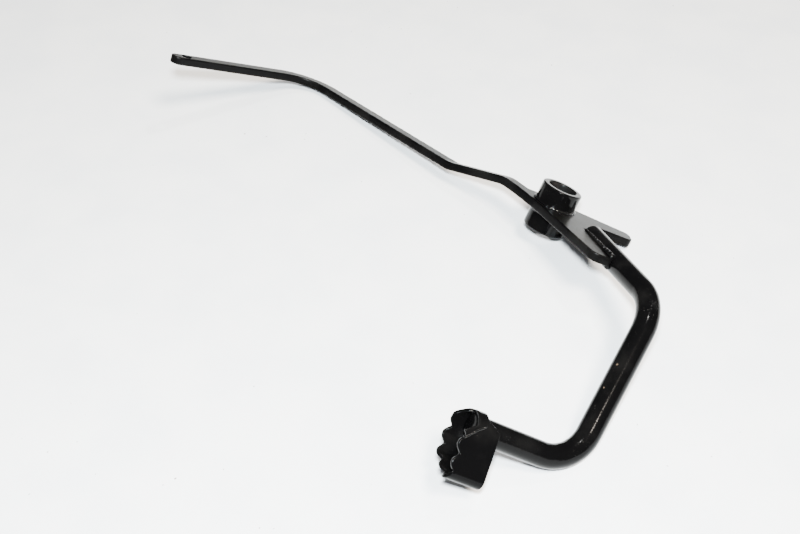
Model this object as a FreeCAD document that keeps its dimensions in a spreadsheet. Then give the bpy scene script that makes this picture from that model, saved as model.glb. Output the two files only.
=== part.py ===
"""Foot control lever for a motorcycle: one welded, painted steel assembly.

Every piece is modelled in the lever's own frame: the plate's middle plane is XY and the
pivot bore is Z, with its centre at the origin. One shared placement then tips the whole
lever into the way it lies on a flat surface, resting on the arm's elbow, the horn and
the bar's lower bend, with Z up. Lengths are millimetres and angles are degrees.
"""
import FreeCAD, Part
import math
import os
import Sketcher

from FreeCAD import Placement, Rotation, Vector

# name, value, what it drives
SIZES = [
    ("tube_dia", 25.4, "outside of the pivot tube"),
    ("bore_dia", 18.0, "bore for the pivot shaft"),
    ("tube_length", 29.0, "pivot tube, end to end"),
    ("tube_chamfer", 0.6, "broken edges of the tube ends"),
    ("plate_thick", 5.3, "sheet of the plate and its arm"),
    ("hub_dia", 31.0, "round of the plate about the tube"),
    ("lobe_x", 16.3, "front lobe, outer corner"),
    ("lobe_y", -65.5, "front lobe, outer corner"),
    ("lobe_round", 6.0, "front lobe, corner radius"),
    ("lobe_seat", 40.5, "length of the bar's seat on the front lobe"),
    ("waist_x", -14.0, "front edge of the plate beside the tube"),
    ("waist_y", -6.8, "front edge of the plate beside the tube"),
    ("horn_reach", 52.5, "tip of the horn from the pivot"),
    ("horn_back", 5.0, "back edge of the horn"),
    ("horn_front", -8.0, "front edge of the horn"),
    ("horn_round", 4.5, "corner radius of the horn's tip"),
    ("arm_width", 10.0, "width of the strip arm"),
    ("arm_heading", 131.9, "direction in which the arm leaves the plate"),
    ("neck_x", -29.0, "end of the flat plate, where the joggle starts"),
    ("neck_y", 20.0, "end of the flat plate, where the joggle starts"),
    ("neck_lap", 14.0, "straight of the strip before the joggle"),
    ("joggle_run", 44.5, "length of the joggle along the arm"),
    ("joggle_drop", 13.6, "how far the joggle steps down"),
    ("joggle_round", 24.0, "middle radius of the joggle's two folds"),
    ("far_lap", 4.0, "straight of the strip after the joggle"),
    ("arm_fall", 4.1, "slope of the long arm below the plate"),
    ("arm_run", 157.5, "long arm, joggle to elbow"),
    ("tip_run", 118.7, "elbow to the end of the arm"),
    ("arm_roll", -2.5, "roll of the long arm about its length"),
    ("elbow_turn", 88.3, "turn at the elbow"),
    ("elbow_round", 20.0, "inner radius of the elbow"),
    ("pin_dia", 6.2, "hole near the end of the arm"),
    ("pin_inset", 11.0, "hole from the end of the arm"),
    ("bar_dia", 13.5, "round bar"),
    ("start_x", 22.6, "end of the bar on the plate"),
    ("start_y", -23.5, "end of the bar on the plate"),
    ("upper_x", 48.3, "upper corner of the bar"),
    ("upper_y", -105.1, "upper corner of the bar"),
    ("lower_x", 28.2, "lower corner of the bar"),
    ("lower_y", -163.7, "lower corner of the bar"),
    ("lower_z", -79.1, "lower corner of the bar"),
    ("foot_x", -33.1, "end of the bar in the foot pad"),
    ("foot_y", -176.8, "end of the bar in the foot pad"),
    ("foot_z", -72.4, "end of the bar in the foot pad"),
    ("upper_round", 32.0, "middle radius of the upper bend"),
    ("lower_round", 25.0, "middle radius of the lower bend"),
    ("pad_sheet", 2.0, "sheet of the foot pad"),
    ("pad_depth", 21.0, "depth of the foot pad, tooth tips to back edge"),
    ("pad_proud", 7.5, "tooth tips beyond the end of the bar"),
    ("pad_turn", 30.0, "turn of the foot pad about the bar"),
    ("pad_reach", 11.5, "bar to the outer wall of the foot pad"),
    ("pad_low", -31.5, "lower end of the wall beside the bar"),
    ("outer_low", -16.2, "lower end of the outer wall"),
    ("outer_high", -6.5, "upper end of the outer wall"),
    ("pad_round", 4.0, "middle radius of the foot pad's corners"),
    ("tooth_pitch", 9.5, "spacing of the serrations"),
    ("first_scallop", 1.0, "first serration past the lower corner"),
    ("tooth_depth", 3.4, "depth of the serrations"),
    ("scallop_dia", 8.0, "cutter that makes the serrations"),
    ("near_relief", -3.5, "height where the tread stops on the wall beside the bar"),
    ("far_relief", 3.0, "height where the tread stops on the outer side"),
    ("near_back", 0.0, "height where the back edge starts to recede beside the bar"),
    ("far_back", 3.0, "height where the back edge starts to recede on the outer side"),
    ("wrap_depth", 13.5, "depth of the back edge on top of the bar"),
    ("seat_bead", 2.4, "leg of the weld beads round the tube"),
    ("bar_bead", 2.4, "radius of the weld beads along the bar"),
    ("pad_bead", 1.3, "radius of the weld beads on the foot pad"),
    ("lean_side", 23.5, "tip of the lying lever about its Y axis"),
    ("lean_back", 20.55, "tip of the lying lever about the X axis"),
]

doc = FreeCAD.newDocument("foot_lever")
sheet = doc.addObject("Spreadsheet::Sheet", "sizes")
for row, (name, value, note) in enumerate(SIZES, start=1):
    sheet.set(f"A{row}", name)
    sheet.set(f"B{row}", str(value))
    sheet.set(f"C{row}", note)
    sheet.setAlias(f"B{row}", name)
doc.recompute()


def size(name):
    """The value of one driving dimension."""
    return float(sheet.get(name))


LYING = Placement(
    Vector(),
    Rotation(Vector(1, 0, 0), -size("lean_back")) * Rotation(Vector(0, 1, 0), size("lean_side")),
)
PIECES = []


# ---------------------------------------------------------------- helpers
def new_body(name):
    """An empty body, listed as one of the lever's pieces."""
    body = doc.addObject("PartDesign::Body", name)
    body.Label = name
    PIECES.append(body)
    return body


def sketch_on(body, name, plane, offset=None):
    """A sketch attached to one of the body's own origin planes."""
    sketch = body.newObject("Sketcher::SketchObject", name)
    origin = next(item for item in body.Origin.OriginFeatures if item.Role == plane)
    sketch.AttachmentSupport = [(origin, "")]
    sketch.MapMode = "FlatFace"
    if offset is not None:
        sketch.AttachmentOffset = offset
    return sketch


def bound(sketch, constraint, name, rule):
    """Adds a constraint that a rule on the sheet drives."""
    sketch.addConstraint(constraint)
    sketch.renameConstraint(sketch.ConstraintCount - 1, name)
    sketch.setExpression(f"Constraints.{name}", rule)


def circle(sketch, name, rule, x=0.0, y=0.0):
    """A circle whose diameter follows a rule on the sheet."""
    index = sketch.addGeometry(Part.Circle(Vector(x, y, 0), Vector(0, 0, 1), 5.0))
    if x == 0.0 and y == 0.0:
        sketch.addConstraint(Sketcher.Constraint("Coincident", index, 3, -1, 1))
    else:
        sketch.addConstraint(Sketcher.Constraint("DistanceX", -1, 1, index, 3, x))
        sketch.addConstraint(Sketcher.Constraint("DistanceY", -1, 1, index, 3, y))
    bound(sketch, Sketcher.Constraint("Diameter", index, 10.0), name, rule)
    return index


def rounded(points, radii):
    """Edges of a closed outline with a tangent arc at each corner that has a radius."""
    joins = []
    for i, corner in enumerate(points):
        following = points[(i + 1) % len(points)]
        joins.append(corner_arc(points[i - 1], corner, following, radii[i]))
    edges = []
    for i, (start, middle, end) in enumerate(joins):
        if middle is not None:
            edges.append(Part.Arc(start, middle, end))
        following = joins[(i + 1) % len(joins)][0]
        if end.distanceToPoint(following) > 0.001:
            edges.append(Part.LineSegment(end, following))
    return edges


def corner_arc(before, corner, after, radius):
    """Start, middle and end of the arc that rounds a corner."""
    if radius == 0:
        return corner, None, corner
    inward = (before - corner).normalize()
    outward = (after - corner).normalize()
    half = inward.getAngle(outward) / 2
    reach = radius / math.tan(half)
    bisector = (inward + outward).normalize()
    middle = corner + bisector * (radius / math.sin(half) - radius)
    return corner + inward * reach, middle, corner + outward * reach


def pad(body, sketch, name, rule, midplane=True):
    """A pad whose length follows a rule on the sheet."""
    feature = body.newObject("PartDesign::Pad", name)
    feature.Profile = sketch
    feature.Midplane = midplane
    feature.setExpression("Length", rule)
    doc.recompute()
    return feature


def draw(sketch, edges):
    """Adds an outline that is worked out from the sheet, and holds it in place."""
    for edge in edges:
        index = sketch.addGeometry(edge)
        sketch.addConstraint(Sketcher.Constraint("Block", index))


def outline(sketch, corners):
    """A polygon whose corners follow pairs of rules on the sheet."""
    values = [Vector(float(sheet.evalExpression(x)), float(sheet.evalExpression(y)), 0)
              for x, y in corners]
    count = len(corners)
    first = sketch.GeometryCount
    for i in range(count):
        sketch.addGeometry(Part.LineSegment(values[i], values[(i + 1) % count]))
    for i, (x_rule, y_rule) in enumerate(corners):
        line = first + i
        following = first + (i + 1) % count
        sketch.addConstraint(Sketcher.Constraint("Coincident", line, 2, following, 1))
        across = Sketcher.Constraint("DistanceX", -1, 1, line, 1, values[i].x)
        bound(sketch, across, f"across{i}", x_rule)
        along = Sketcher.Constraint("DistanceY", -1, 1, line, 1, values[i].y)
        bound(sketch, along, f"along{i}", y_rule)


def pocket(body, sketch, name, rule):
    """A pocket that cuts to both sides of its sketch."""
    feature = body.newObject("PartDesign::Pocket", name)
    feature.Profile = sketch
    feature.Midplane = True
    before = body.Shape.Volume
    feature.setExpression("Length", rule)
    doc.recompute()
    if not feature.Shape.Volume < before:
        raise RuntimeError(f"{name} cuts nothing")
    return feature


def edges_by(shape, test):
    """Names of the straight edges whose two ends pass a test."""
    names = []
    for i, edge in enumerate(shape.Edges, start=1):
        straight = isinstance(edge.Curve, Part.Line)
        if straight and test(edge.Vertexes[0].Point, edge.Vertexes[-1].Point):
            names.append(f"Edge{i}")
    return names


def fillet(body, name, edge_names, rule):
    """Rounds some edges of the body's last feature."""
    if not edge_names:
        raise RuntimeError(f"{name} found no edges")
    base = body.Tip
    feature = body.newObject("PartDesign::Fillet", name)
    feature.Base = (base, edge_names)
    feature.setExpression("Radius", rule)
    doc.recompute()
    return feature


def upright_at(points):
    """A test for edges that stand on the plate at one of some points."""
    def test(start, end):
        upright = math.hypot(start.x - end.x, start.y - end.y) < 0.01
        return upright and any(math.hypot(start.x - x, start.y - y) < 0.6 for x, y in points)
    return test


def solid_of(name, shape):
    """A piece whose shape its neighbours trim."""
    feature = doc.addObject("Part::Feature", name)
    feature.Label = name
    feature.Shape = shape
    PIECES.append(feature)
    return feature


# ---------------------------------------------------------------- pivot tube
def make_pivot_tube():
    """Plain tube that turns on the pivot shaft."""
    body = new_body("pivot_tube")
    ring = sketch_on(body, "tube_ring", "XY_Plane")
    circle(ring, "outside", "sizes.tube_dia")
    circle(ring, "inside", "sizes.bore_dia")
    tube = pad(body, ring, "tube", "sizes.tube_length")
    rims = [f"Edge{i}" for i, edge in enumerate(tube.Shape.Edges, start=1)
            if isinstance(edge.Curve, Part.Circle)]
    chamfer = body.newObject("PartDesign::Chamfer", "broken_edges")
    chamfer.Base = (tube, rims)
    chamfer.setExpression("Size", "sizes.tube_chamfer")
    doc.recompute()
    return body


# ---------------------------------------------------------------- bar
def bar_corners():
    """Ends and corners of the bar's middle line."""
    upper = Vector(size("upper_x"), size("upper_y"), 0)
    lower = Vector(size("lower_x"), size("lower_y"), size("lower_z"))
    foot = Vector(size("foot_x"), size("foot_y"), size("foot_z"))
    start = Vector(size("start_x"), size("start_y"), 0)
    return start, upper, lower, foot


def bend_plane(before, corner, after):
    """Placement of a sketch that holds a bend, with its X axis along the leg before it."""
    along = (corner - before).normalize()
    normal = along.cross(after - corner).normalize()
    return Placement(corner, Rotation(along, normal.cross(along), normal, "XYZ"))


def bar_bend(body, name, before, corner, after, radius):
    """Sweeps the bar's section along one leg, one bend and the next leg."""
    place = bend_plane(before, corner, after)
    flat = [place.inverse().multVec(point) for point in (before, corner, after)]
    start, middle, end = corner_arc(*flat, radius)
    path = sketch_on(body, f"{name}_path", "XY_Plane", place)
    draw(path, [
        Part.LineSegment(flat[0], start),
        Part.Arc(start, middle, end),
        Part.LineSegment(end, flat[2]),
    ])
    across = Placement(before, place.Rotation * Rotation(Vector(0, 1, 0), 90))
    section = sketch_on(body, f"{name}_section", "XY_Plane", across)
    circle(section, "outside", "sizes.bar_dia")
    doc.recompute()
    sweep = body.newObject("PartDesign::AdditivePipe", name)
    sweep.Profile = section
    sweep.Spine = (path, [f"Edge{i}" for i in (1, 2, 3)])
    doc.recompute()
    return sweep


def make_pedal_bar():
    """Round bar with two bends, from the plate down and round to the foot pad."""
    body = new_body("pedal_bar")
    start, upper, lower, foot = bar_corners()
    middle = (upper + lower) / 2
    bar_bend(body, "upper_bend", start, upper, middle, size("upper_round"))
    bar_bend(body, "lower_bend", middle, lower, foot, size("lower_round"))
    return body


# ---------------------------------------------------------------- plate and arm
def arm_frame():
    """Placement of the neck: X runs along the arm and Z stays square to the plate."""
    neck = Vector(size("neck_x"), size("neck_y"), 0)
    return Placement(neck, Rotation(Vector(0, 0, 1), size("arm_heading")))


def band(middle_line, half):
    """Closed outline of a strip that follows a middle line in the XY plane."""
    sides = {}
    for side in (half, -half):
        sides[side] = []
        for i, point in enumerate(middle_line):
            before = middle_line[max(i - 1, 0)]
            after = middle_line[min(i + 1, len(middle_line) - 1)]
            normals = [Vector(-step.y, step.x, 0).normalize()
                       for step in (point - before, after - point) if step.Length > 0]
            mean = (normals[0] + normals[-1]) / 2
            sides[side].append(point + mean * (side / mean.Length ** 2))
    return sides[half] + sides[-half][::-1]


def add_joggle(body):
    """The step down from the plate to the long arm, drawn from the side."""
    near = size("neck_lap")
    far = size("far_lap")
    run = size("joggle_run")
    drop = size("joggle_drop")
    fall = math.radians(size("arm_fall"))
    line = [
        Vector(-near, 0, 0),
        Vector(0, 0, 0),
        Vector(run, -drop, 0),
        Vector(run + far * math.cos(fall), -drop - far * math.sin(fall), 0),
    ]
    half = size("plate_thick") / 2
    outer = size("joggle_round") + half
    inner = size("joggle_round") - half
    side = sketch_on(body, "joggle_side", "XY_Plane",
                     arm_frame() * Placement(Vector(), Rotation(Vector(1, 0, 0), 90)))
    radii = [0, outer, inner, 0, 0, outer, inner, 0]
    draw(side, rounded(band(line, half), radii))
    pad(body, side, "joggle", "sizes.arm_width")


def far_frame():
    """Placement of the long arm's middle plane, which starts where the joggle ends."""
    fall = Rotation(Vector(0, 1, 0), size("arm_fall"))
    roll = Rotation(Vector(1, 0, 0), size("arm_roll"))
    return arm_frame() * Placement(Vector(size("joggle_run"), 0, -size("joggle_drop")), fall * roll)


def arm_points():
    """Middle line of the long arm in its own plane: joggle, elbow and rounded end."""
    turn = math.radians(size("elbow_turn"))
    elbow = Vector(size("arm_run"), 0, 0)
    tip = elbow + Vector(math.cos(turn), math.sin(turn), 0) * size("tip_run")
    return Vector(0, 0, 0), elbow, tip


def add_long_arm(body):
    """The long strip arm: straight run, elbow, short run and rounded end."""
    half = size("arm_width") / 2
    inner = size("elbow_round")
    outline_points = band(list(arm_points()), half)
    end_round = half - 0.05
    radii = [0, inner, end_round, end_round, inner + 2 * half, 0]
    flat = sketch_on(body, "long_arm_outline", "XY_Plane", far_frame())
    draw(flat, rounded(outline_points, radii))
    pad(body, flat, "long_arm", "sizes.plate_thick")


def pin_centre():
    """Centre of the hole near the end of the arm, in the long arm's plane."""
    _, elbow, tip = arm_points()
    return tip - (tip - elbow).normalize() * size("pin_inset")


def bar_normal():
    """Direction across the bar's first leg, towards the horn."""
    start, upper, _, _ = bar_corners()
    along = (upper - start).normalize()
    return along, Vector(-along.y, along.x, 0)


def make_arm_plate():
    """One stamping: hub, front lobe, horn, joggle and long arm."""
    body = new_body("arm_plate")
    hub = sketch_on(body, "hub_round", "XY_Plane")
    circle(hub, "outside", "sizes.hub_dia")
    pad(body, hub, "hub", "sizes.plate_thick")

    horn = sketch_on(body, "horn_outline", "XY_Plane")
    outline(horn, [
        ("0", "sizes.horn_front - 6"),
        ("sizes.horn_reach", "sizes.horn_front"),
        ("sizes.horn_reach", "sizes.horn_back"),
        ("0", "sizes.horn_back + 4"),
    ])
    pad(body, horn, "horn", "sizes.plate_thick")

    start, upper, _, _ = bar_corners()
    along, across = bar_normal()
    radius = size("bar_dia") / 2
    seat_left = start - across * radius
    seat_right = start + across * radius
    lobe_end = seat_left + along * size("lobe_seat")
    lobe = sketch_on(body, "lobe_outline", "XY_Plane")
    neck_front, neck_rear = (arm_frame().multVec(Vector(-size("neck_lap"), side, 0))
                             for side in (size("arm_width") / 2, -size("arm_width") / 2))
    outline(lobe, [
        (str(neck_rear.x), str(neck_rear.y)),
        (str(neck_front.x), str(neck_front.y)),
        ("sizes.waist_x", "sizes.waist_y"),
        ("sizes.lobe_x", "sizes.lobe_y"),
        (str(lobe_end.x), str(lobe_end.y)),
        (str(seat_left.x), str(seat_left.y)),
        (str(seat_right.x), str(seat_right.y)),
        (str(seat_right.x), "sizes.horn_front - 2"),
        ("0", "0"),
        ("0", "sizes.hub_dia / 2"),
    ])
    pad(body, lobe, "lobe", "sizes.plate_thick")
    add_joggle(body)
    add_long_arm(body)

    bore = sketch_on(body, "tube_hole", "XY_Plane")
    circle(bore, "outside", "sizes.tube_dia")
    pocket(body, bore, "tube_seat", "sizes.plate_thick * 2")
    pin = sketch_on(body, "pin_hole", "XY_Plane", far_frame())
    centre = pin_centre()
    circle(pin, "outside", "sizes.pin_dia", centre.x, centre.y)
    pocket(body, pin, "pin", "sizes.plate_thick * 2")

    tips = [(size("horn_reach"), size("horn_front")), (size("horn_reach"), size("horn_back"))]
    fillet(body, "horn_tip", edges_by(body.Shape, upright_at(tips)), "sizes.horn_round")
    corner = [(size("lobe_x"), size("lobe_y"))]
    fillet(body, "lobe_tip", edges_by(body.Shape, upright_at(corner)), "sizes.lobe_round")
    return body


# ---------------------------------------------------------------- foot pad
def pad_frame():
    """Placement of the pad's section: X and Y lie in the tread and Z runs down the bar."""
    _, _, lower, foot = bar_corners()
    down = (lower - foot).normalize()
    turn = math.radians(size("pad_turn"))
    lean = Vector(0, math.sin(turn), math.cos(turn))
    up = (lean - down * lean.dot(down)).normalize()
    tread = foot - down * size("pad_proud")
    return Placement(tread, Rotation(up.cross(down), up, down, "XYZ"))


def pad_line():
    """Corners of the pad's middle line, from above the bar and round the loop."""
    beside = size("bar_dia") / 2 + size("pad_sheet") / 2
    high = Vector(size("pad_reach"), size("outer_high"), 0)
    reach = high.Length
    lean = math.atan2(high.y, high.x) + math.acos(beside / reach)
    touch = Vector(math.cos(lean), math.sin(lean), 0) * beside
    slope = (touch - high).normalize()
    crown = high + slope * ((beside - high.y) / slope.y)
    return [
        crown,
        Vector(-beside, beside, 0),
        Vector(-beside, size("pad_low"), 0),
        Vector(size("pad_reach"), size("outer_low"), 0),
        high,
    ]


def offset_loop(points, distance):
    """Closed outline moved outwards, for corners that run anticlockwise."""
    moved = []
    for i, point in enumerate(points):
        before = (point - points[i - 1]).normalize()
        after = (points[(i + 1) % len(points)] - point).normalize()
        outward = Vector(before.y + after.y, -before.x - after.x, 0)
        moved.append(point + outward * (2 * distance / outward.Length ** 2))
    return moved


def pad_outline(distance):
    """Rounded outline of the pad at a distance from its middle line."""
    round_corner = size("pad_round") + distance
    beside = size("bar_dia") / 2 + size("pad_sheet") / 2 + distance
    radii = [beside, beside, round_corner, round_corner, round_corner]
    return rounded(offset_loop(pad_line(), distance), radii)


def add_serration(body, number, wire, reach):
    """One rounded cut across the sheet, at a distance along the pad's middle line."""
    for edge in wire.Edges:
        if reach <= edge.Length:
            break
        reach -= edge.Length
    place = edge.getParameterByLength(reach)
    point = edge.valueAt(place)
    tangent = edge.tangentAt(place)
    normal = Vector(tangent.y, -tangent.x, 0)
    radius = size("scallop_dia") / 2
    centre = point + Vector(0, 0, size("tooth_depth") - radius)
    turn = Rotation(tangent, Vector(0, 0, 1), normal, "XYZ")
    cutter = sketch_on(body, f"serration{number}", "XY_Plane",
                       pad_frame() * Placement(centre, turn))
    circle(cutter, "outside", "sizes.scallop_dia")
    pocket(body, cutter, f"cut{number}", "sizes.pad_sheet * 3")


def trim_wrap(body, name, side, corners, radii):
    """Cuts one side of the wrap to an outline of depths and heights."""
    beside = size("bar_dia") / 2 + size("pad_sheet") / 2
    frame = pad_frame() * Placement(Vector(side * beside, 0, 0), Rotation(Vector(0, 1, 0), -90))
    cutter = sketch_on(body, f"{name}_side", "XY_Plane", frame)
    draw(cutter, rounded([Vector(depth, height, 0) for depth, height in corners], radii))
    pocket(body, cutter, name, "sizes.bar_dia + sizes.pad_sheet")


def trim_edges(body, name, side, front, back):
    """Cuts the wrap's front edge back to the bar's end, and rounds off its back edge."""
    proud = size("pad_proud")
    clear = 2 * size("bar_dia")
    trim_wrap(body, f"{name}_front_cut", side, [
        (-1, front),
        (proud * 0.2, front),
        (proud, front + proud * 0.7),
        (proud, clear),
        (-1, clear),
    ], [0, 2, 2, 0, 0])
    depth = size("pad_depth")
    recess = depth - size("wrap_depth")
    trim_wrap(body, f"{name}_back_cut", side, [
        (depth + 1, back),
        (depth, back),
        (depth - recess, back + recess * 0.6),
        (depth - recess, clear),
        (depth + 1, clear),
    ], [0, 0, recess * 0.5, 0, 0])


def make_foot_pad():
    """Loop of bent strip wrapped round the end of the bar, with a serrated tread edge."""
    body = new_body("foot_pad")
    half = size("pad_sheet") / 2
    section = sketch_on(body, "loop", "XY_Plane", pad_frame())
    draw(section, pad_outline(half))
    draw(section, pad_outline(-half))
    pad(body, section, "strip", "sizes.pad_depth", midplane=False)
    trim_edges(body, "near", -1, size("near_relief"), size("near_back"))
    trim_edges(body, "far", 1, size("far_relief"), size("far_back"))

    loop = Part.Wire([edge.toShape() for edge in pad_outline(0)])
    arcs = [i for i, edge in enumerate(loop.Edges) if isinstance(edge.Curve, Part.Circle)]
    before_corner = sum(edge.Length for edge in loop.Edges[:arcs[2]])
    for count, number in enumerate(range(-2, 5), start=1):
        reach = before_corner + size("first_scallop") + number * size("tooth_pitch")
        add_serration(body, count, loop, reach)
    return body


# ---------------------------------------------------------------- welds
def ring_bead(name, side):
    """Weld ring in the corner between the tube and one face of the plate."""
    body = new_body(name)
    section = sketch_on(body, "bead_section", "XZ_Plane")
    leg = size("seat_bead")
    root = Vector(size("tube_dia") / 2, side * size("plate_thick") / 2, 0)
    toe = root + Vector(leg, 0, 0)
    crown = root + Vector(0, side * leg, 0)
    draw(section, [
        Part.LineSegment(root, toe),
        Part.LineSegment(toe, crown),
        Part.LineSegment(crown, root),
    ])
    ring = body.newObject("PartDesign::Revolution", "ring")
    ring.Profile = section
    ring.ReferenceAxis = (section, ["V_Axis"])
    ring.Angle = 360
    doc.recompute()
    return body


def rod_bead(name, start, end, radius, neighbours):
    """Straight weld bead along a seam, trimmed by the pieces that it joins."""
    run = end - start
    rod = Part.makeCylinder(radius, run.Length, start, run)
    return trimmed(name, rod, neighbours)


def trimmed(name, shape, neighbours):
    """The part of a bead that stands outside the pieces that it joins."""
    for neighbour in neighbours:
        shape = shape.cut(neighbour.Shape)
    largest = max(shape.removeSplitter().Solids, key=lambda solid: solid.Volume)
    return solid_of(name, largest)


def bar_beads(plate, bar):
    """Beads along the bar's seat, one on each face of the plate."""
    start, _, _, _ = bar_corners()
    along, across = bar_normal()
    bead = size("bar_bead")
    seam = start - across * (size("bar_dia") / 2 - bead / 12)
    first = seam + along * bead
    last = seam + along * (size("lobe_seat") - bead)
    for name, side in (("weld_bar_inner", 1), ("weld_bar_outer", -1)):
        face = Vector(0, 0, side * size("plate_thick") / 2)
        rod_bead(name, first + face, last + face, bead, [plate, bar])


def pad_beads(bar, foot_pad):
    """A bead that closes the wrap beside the bar, and one round the wrap's back edge."""
    frame = pad_frame()
    bead = size("pad_bead")
    radius = size("bar_dia") / 2
    beside = radius + size("pad_sheet")
    depth = size("pad_depth")
    rod_bead("weld_pad_front",
             frame.multVec(Vector(-beside, size("near_relief"), 2 * bead)),
             frame.multVec(Vector(-beside * 0.94, beside * 0.35, depth * 0.6)),
             bead, [bar, foot_pad])
    back = size("wrap_depth")
    ring = Part.makeTorus(radius + bead / 2, bead, Vector(0, 0, back), Vector(0, 0, 1))
    top_half = Part.makeBox(4 * beside, 2 * beside, 4 * bead,
                            Vector(-2 * beside, radius / 2, back - 2 * bead))
    ring = ring.common(top_half)
    ring.Placement = frame * ring.Placement
    trimmed("weld_pad_rear", ring, [bar, foot_pad])


def make_welds(plate, bar, foot_pad):
    """Beads where the tube, the bar and the foot pad are joined."""
    ring_bead("weld_pivot_upper", 1)
    ring_bead("weld_pivot_lower", -1)
    bar_beads(plate, bar)
    pad_beads(bar, foot_pad)


# ---------------------------------------------------------------- finish
def finish():
    """Lays the lever down, checks every object and writes each piece."""
    doc.recompute()
    for piece in PIECES:
        piece.Placement = LYING
    doc.recompute()
    for item in doc.Objects:
        if "Invalid" in item.State or "Error" in item.State:
            raise RuntimeError(f"{item.Name} failed: {item.State}")
    os.makedirs("parts", exist_ok=True)
    for piece in PIECES:
        shape = piece.Shape
        if shape.isNull() or not shape.isValid():
            raise RuntimeError(f"{piece.Label} has no valid shape")
        shape.exportStep(f"parts/{piece.Label}.step")
        box = shape.BoundBox
        print(f"{piece.Label}: {len(shape.Solids)} solid, {shape.Volume:.0f} mm3,"
              f" z {box.ZMin:.2f} to {box.ZMax:.2f}")


make_pivot_tube()
pedal_bar = make_pedal_bar()
arm_plate = make_arm_plate()
foot_pad = make_foot_pad()
make_welds(arm_plate, pedal_bar, foot_pad)
finish()
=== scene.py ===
# %% [markdown]
# # A welded foot lever in black enamel
#
# A foot lever like this one is made from four steel parts: a short pivot tube, a stamped plate
# whose strip arm runs a long way back, a round bar bent twice, and a loop of strip with teeth for
# the sole of the boot. They are welded, then dipped or sprayed in one coat of black enamel.
#
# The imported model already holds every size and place. This lesson gives those parts what a drawing
# leaves out: edges that the paint has rounded, rippled weld beads, and a coat of enamel with its
# skin, dust and small scars. Everything is in metres.

# %% Load the frame
import math

import bmesh
import bpy
from mathutils import Matrix, Vector, noise


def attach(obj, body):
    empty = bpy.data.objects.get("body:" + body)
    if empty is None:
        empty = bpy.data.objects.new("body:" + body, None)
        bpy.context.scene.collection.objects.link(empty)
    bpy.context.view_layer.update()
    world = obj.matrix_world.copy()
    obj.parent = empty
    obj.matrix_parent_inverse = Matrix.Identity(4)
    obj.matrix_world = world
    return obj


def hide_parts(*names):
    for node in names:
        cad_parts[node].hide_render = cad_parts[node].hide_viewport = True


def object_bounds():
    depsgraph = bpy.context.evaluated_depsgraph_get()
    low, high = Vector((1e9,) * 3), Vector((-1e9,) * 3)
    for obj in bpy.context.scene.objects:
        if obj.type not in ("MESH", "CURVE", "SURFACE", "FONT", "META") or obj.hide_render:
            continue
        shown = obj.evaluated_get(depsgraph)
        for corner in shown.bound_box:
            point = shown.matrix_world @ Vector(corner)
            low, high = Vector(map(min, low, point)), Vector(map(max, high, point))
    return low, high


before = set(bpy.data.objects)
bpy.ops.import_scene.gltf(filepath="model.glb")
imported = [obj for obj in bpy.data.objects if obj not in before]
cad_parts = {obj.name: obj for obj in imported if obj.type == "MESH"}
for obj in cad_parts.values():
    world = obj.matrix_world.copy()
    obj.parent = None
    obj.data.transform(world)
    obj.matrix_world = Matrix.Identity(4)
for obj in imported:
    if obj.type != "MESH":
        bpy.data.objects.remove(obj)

cad_low, cad_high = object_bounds()
print("the lever measures", [round(v, 4) for v in cad_high - cad_low], "metres")

# %% [markdown]
# ## The lever's own axes
#
# The lever lies tipped on the floor, so its plate isn't level. It is easier to think in the
# lever's own axes, where the pivot bore is Z and the plate is flat, and to turn the result. Two
# turns do it: one about Y and then one about X. A small helper gives points in millimetres in the
# lever's axes and returns metres in the shared frame.

# %% Axes and key points
MM = 0.001
LEAN_SIDE = math.radians(23.5)
LEAN_BACK = math.radians(20.55)
LYING = Matrix.Rotation(-LEAN_BACK, 4, "X") @ Matrix.Rotation(LEAN_SIDE, 4, "Y")


def lever_point(x, y, z=0.0):
    """A point given in millimetres in the lever's axes, in metres in the shared frame."""
    return LYING @ (Vector((x, y, z)) * MM)


def placement(origin, x_axis, y_axis, z_axis):
    """A matrix that carries a part's own axes to an origin and three directions."""
    rows = Matrix((x_axis, y_axis, z_axis)).transposed().to_4x4()
    return Matrix.Translation(origin) @ rows


BAR_RADIUS = 6.75 * MM
BAR_CORNERS = [
    lever_point(22.6, -23.5),
    lever_point(48.3, -105.1),
    lever_point(28.2, -163.7, -79.1),
    lever_point(-33.1, -176.8, -72.4),
]
BAR_BENDS = [32 * MM, 25 * MM]
print("the bar's corners:", [tuple(round(v, 4) for v in p) for p in BAR_CORNERS])

# %% [markdown]
# ## Meshes from rings
#
# A bent bar, a turned tube and a weld bead are all a ring of points carried along a path. One
# helper joins rings into a mesh, and another walks a path of straight runs and round bends. The
# ring has to turn as little as it can on the way, or its faces twist, so each ring's sideways
# direction is the last one's with the new path direction taken out of it.

# %% Ring and path helpers


def add_piece(name, mesh, smooth=True):
    """Links a mesh to the scene as a new piece."""
    mesh.validate()
    mesh.polygons.foreach_set("use_smooth", [smooth] * len(mesh.polygons))
    piece = bpy.data.objects.new(name, mesh)
    bpy.context.scene.collection.objects.link(piece)
    return piece


def skin_rings(name, rings, closed=False, capped=True):
    """A smooth mesh through equal rings of points. A closed one joins its last ring to its first."""
    work = bmesh.new()
    loops = [[work.verts.new(point) for point in ring] for ring in rings]
    pairs = list(zip(loops, loops[1:]))
    if closed:
        pairs.append((loops[-1], loops[0]))
    sides = len(loops[0])
    for first, second in pairs:
        for i in range(sides):
            j = (i + 1) % sides
            work.faces.new((first[i], first[j], second[j], second[i]))
    if capped and not closed:
        work.faces.new(loops[0][::-1])
        work.faces.new(loops[-1])
    bmesh.ops.recalc_face_normals(work, faces=work.faces)
    mesh = bpy.data.meshes.new(name)
    work.to_mesh(mesh)
    work.free()
    return add_piece(name, mesh)


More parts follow.
